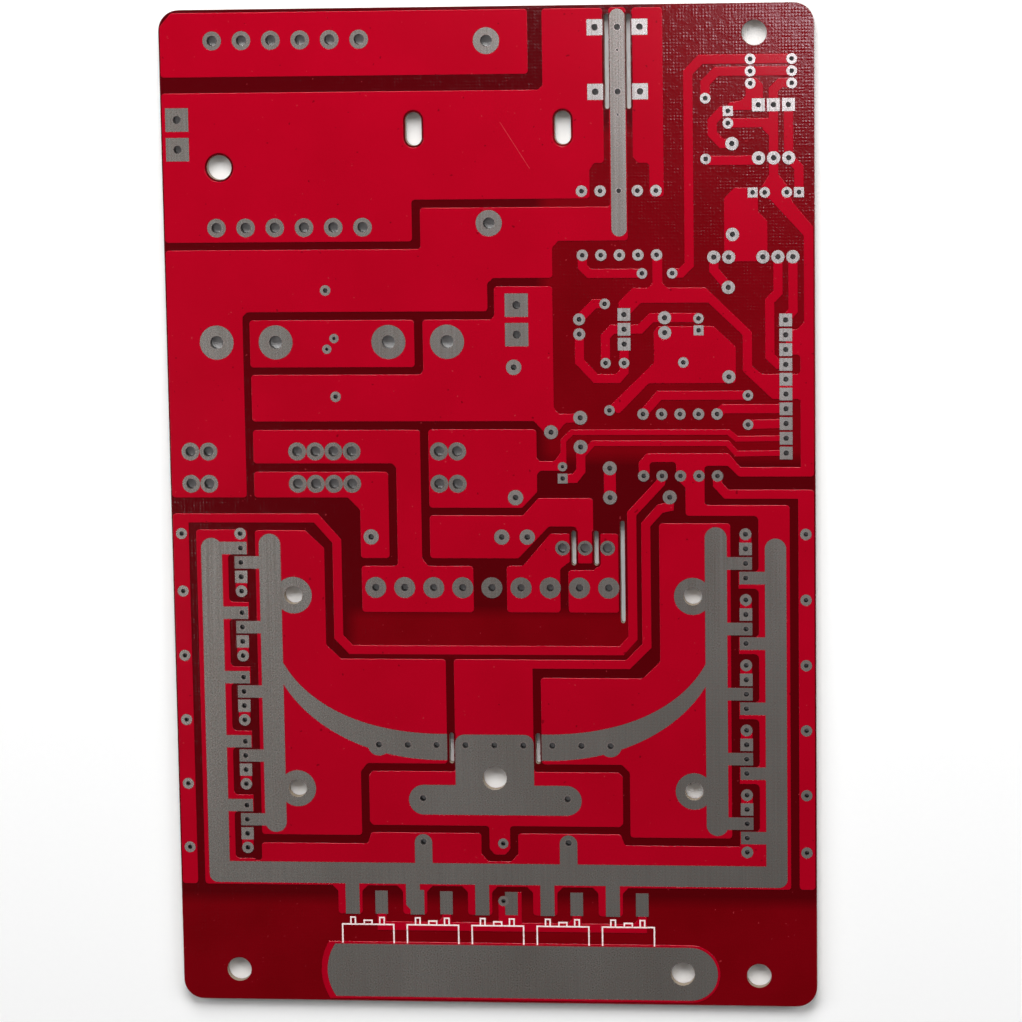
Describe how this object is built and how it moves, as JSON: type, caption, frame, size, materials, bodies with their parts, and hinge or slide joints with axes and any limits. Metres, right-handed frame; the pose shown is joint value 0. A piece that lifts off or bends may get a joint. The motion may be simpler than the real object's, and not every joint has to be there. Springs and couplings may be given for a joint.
{
  "type": "inverter circuit board",
  "caption": "Bare red power-inverter circuit board: drilled laminate with coated copper areas, tinned bus bars, plated eyelets, slots and screw holes.",
  "frame": {"origin": "middle of the board on the plane of its back face, which lies on the floor", "axes": "+X across the board to the right of the printed face, +Y along its length towards the terminal rows, +Z out of the printed face"},
  "size_m": [0.112, 0.174, 0.0018],
  "materials": {
    "laminate": "sawn glass-epoxy edge",
    "film": "glossy dark red film over laminate",
    "coated_foil": "glossy red coat over copper",
    "tin": "dull tinned copper",
    "ink": "screen printed line"
  },
  "bodies": {
    "root": {"bar_linings": "tin", "capacitor_eyelets": "tin", "capacitor_link": "coated_foil", "centre_plane": "coated_foil", "centre_tab": "tin", "contact_eyelets": "tin", "contact_plane_a": "coated_foil", "contact_plane_b": "coated_foil", "contact_plane_c": "coated_foil", "control_eyelets": "tin", "gate_lands": "tin", "gate_links": "coated_foil", "ground_bus": "tin", "ground_plane": "coated_foil", "header_eyelets": "tin", "input_plane": "coated_foil", "input_strip": "coated_foil", "laminate": "laminate", "left_drain_bus": "tin", "left_drain_plane": "coated_foil", "left_gate_track": "coated_foil", "low_gate_track": "coated_foil", "lower_control_tracks": "coated_foil", "lug_eyelets": "tin", "middle_control_tracks": "coated_foil", "output_plane": "coated_foil", "package_legend": "ink", "post_eyelets": "tin", "rail_eyelets": "tin", "rear_film": "film", "relay_eyelets": "tin", "resistor_eyelets": "tin", "return_plane": "coated_foil", "right_drain_bus": "tin", "right_drain_plane": "coated_foil", "right_gate_track": "coated_foil", "sense_eyelets": "tin", "sense_strip": "coated_foil", "shunt_bar": "tin", "shunt_plane": "coated_foil", "stud_eyelets": "tin", "terminal_eyelets": "tin", "top_film": "film", "transformer_eyelets": "tin", "transistor_eyelets": "tin", "triple_eyelets": "tin", "upper_control_tracks": "coated_foil", "wide_bar": "tin", "wide_bar_margin": "coated_foil", "winding_plane_a": "coated_foil", "winding_plane_b": "coated_foil", "wire_eyelets": "tin"}
  },
  "joints": []
}
